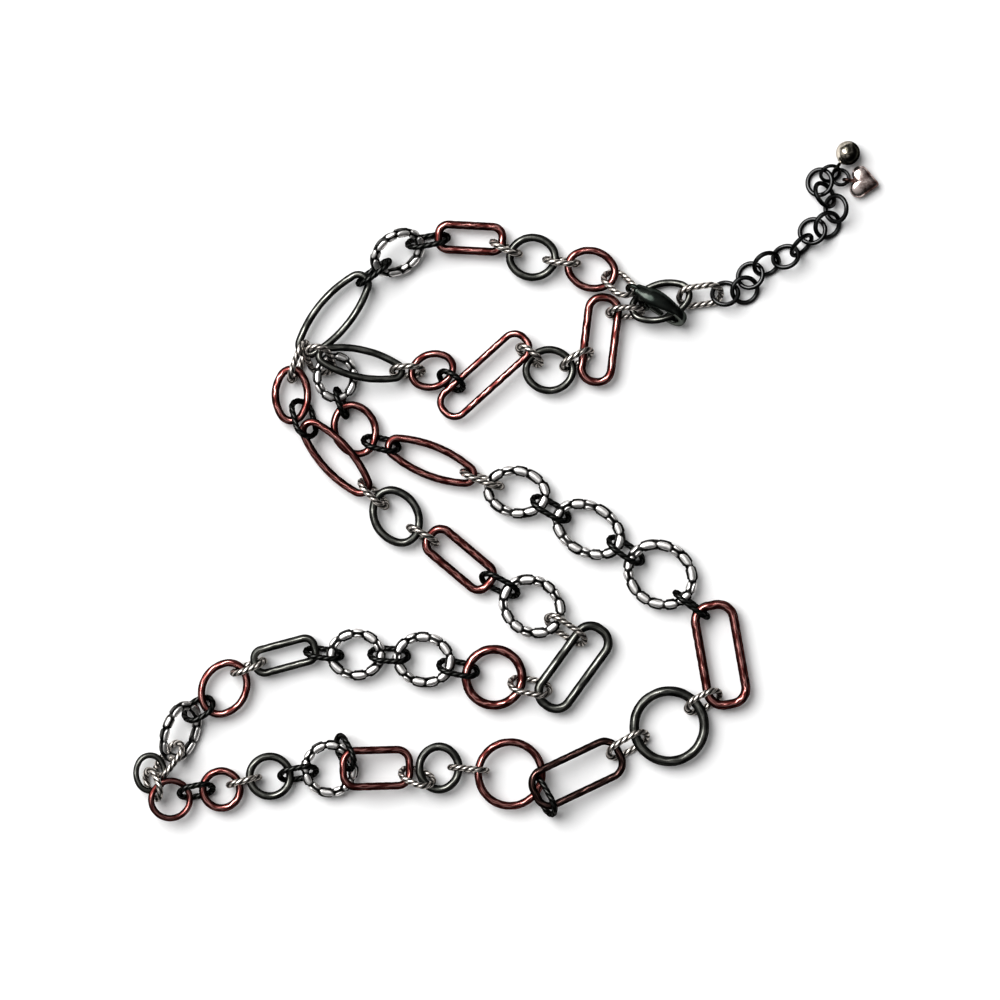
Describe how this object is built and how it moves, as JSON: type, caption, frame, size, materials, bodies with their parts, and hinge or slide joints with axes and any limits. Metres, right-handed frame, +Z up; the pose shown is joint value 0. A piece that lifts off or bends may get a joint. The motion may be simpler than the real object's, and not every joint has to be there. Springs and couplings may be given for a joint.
{
  "type": "statement necklace",
  "caption": "Statement necklace of mixed metal links joined by small ovals of twisted wire, closed by a lobster clasp, with a charm extender.",
  "frame": {"origin": "on the surface under the middle of the laid necklace", "axes": "+X to the right and +Y to the back of the lay as seen from above, +Z up"},
  "size_m": [0.1859, 0.1696, 0.0094],
  "materials": {
    "antique_copper": "hammered, antique copper plating",
    "dark_bronze": "hammered, dark bronze plating",
    "gunmetal": "smooth, satin gunmetal plating",
    "pebbled_silver": "pebbled, antique silver plating",
    "twisted_wire": "twisted wire, antique silver plating",
    "dark_wire": "twisted wire, gunmetal plating",
    "clasp_metal": "polished gunmetal plating",
    "ring_wire": "polished gunmetal plating",
    "ball_metal": "polished gunmetal plating",
    "heart_metal": "polished gunmetal plating"
  },
  "bodies": {
    "necklace": {"link_01_copper_ring": "antique_copper", "link_02_dark_ring": "gunmetal", "link_03_copper_box": "antique_copper", "link_04_pebble_oval": "pebbled_silver", "link_05_dark_long_oval": "gunmetal", "link_06_copper_ring": "antique_copper", "link_07_copper_long_oval": "antique_copper", "link_08_dark_ring": "gunmetal", "link_09_copper_box": "antique_copper", "link_10_pebble_oval": "pebbled_silver", "link_11_dark_paperclip": "gunmetal", "link_12_copper_ring": "antique_copper", "link_13_pebble_oval": "pebbled_silver", "link_14_pebble_oval": "pebbled_silver", "link_15_dark_box": "gunmetal", "link_16_copper_ring": "antique_copper", "link_17_pebble_oval": "pebbled_silver", "link_18_dark_ring": "gunmetal", "link_19_copper_ring": "antique_copper", "link_20_copper_ring": "antique_copper", "link_21_dark_ring": "gunmetal", "link_22_pebble_ring": "pebbled_silver", "link_23_copper_box": "antique_copper", "link_24_dark_ring": "gunmetal", "link_25_copper_ring": "antique_copper", "link_26_bronze_box": "dark_bronze", "link_27_dark_ring": "gunmetal", "link_28_copper_box": "antique_copper", "link_29_pebble_oval": "pebbled_silver", "link_30_pebble_oval": "pebbled_silver", "link_31_pebble_oval": "pebbled_silver", "link_32_copper_long_oval": "antique_copper", "link_33_copper_ring": "antique_copper", "link_34_pebble_ring": "pebbled_silver", "link_35_dark_long_oval": "gunmetal", "link_36_copper_ring": "antique_copper", "link_37_copper_paperclip": "antique_copper", "link_38_dark_ring": "gunmetal", "link_39_copper_paperclip": "antique_copper", "link_40_clasp_ring": "gunmetal", "twisted_connectors_1": "twisted_wire", "twisted_connectors_2": "twisted_wire", "twisted_connectors_3": "twisted_wire", "twisted_connectors_4": "twisted_wire", "twisted_connectors_5": "twisted_wire", "twisted_connectors_6": "twisted_wire", "twisted_connectors_7": "twisted_wire", "twisted_connectors_8": "twisted_wire", "twisted_connectors_9": "twisted_wire", "dark_connectors_1": "dark_wire", "dark_connectors_2": "dark_wire", "dark_connectors_3": "dark_wire", "dark_connectors_4": "dark_wire", "dark_connectors_5": "dark_wire", "clasp_body": "clasp_metal", "extender_rings": "ring_wire", "charm_rings": "ring_wire", "ball_charm": "ball_metal", "heart_charm": "heart_metal"},
    "lever": {"clasp_lever": "clasp_metal"}
  },
  "joints": [
    {"name": "lever_hinge", "type": "hinge", "parent": "necklace", "child": "lever", "pos_m": [0.03491, 0.04462, 0.00321], "axis": [-0.451, -0.7875, 0.42], "range_deg": [0, 20], "stiffness_Nm_per_rad": 0.002, "springref_deg": -17.19}
  ]
}
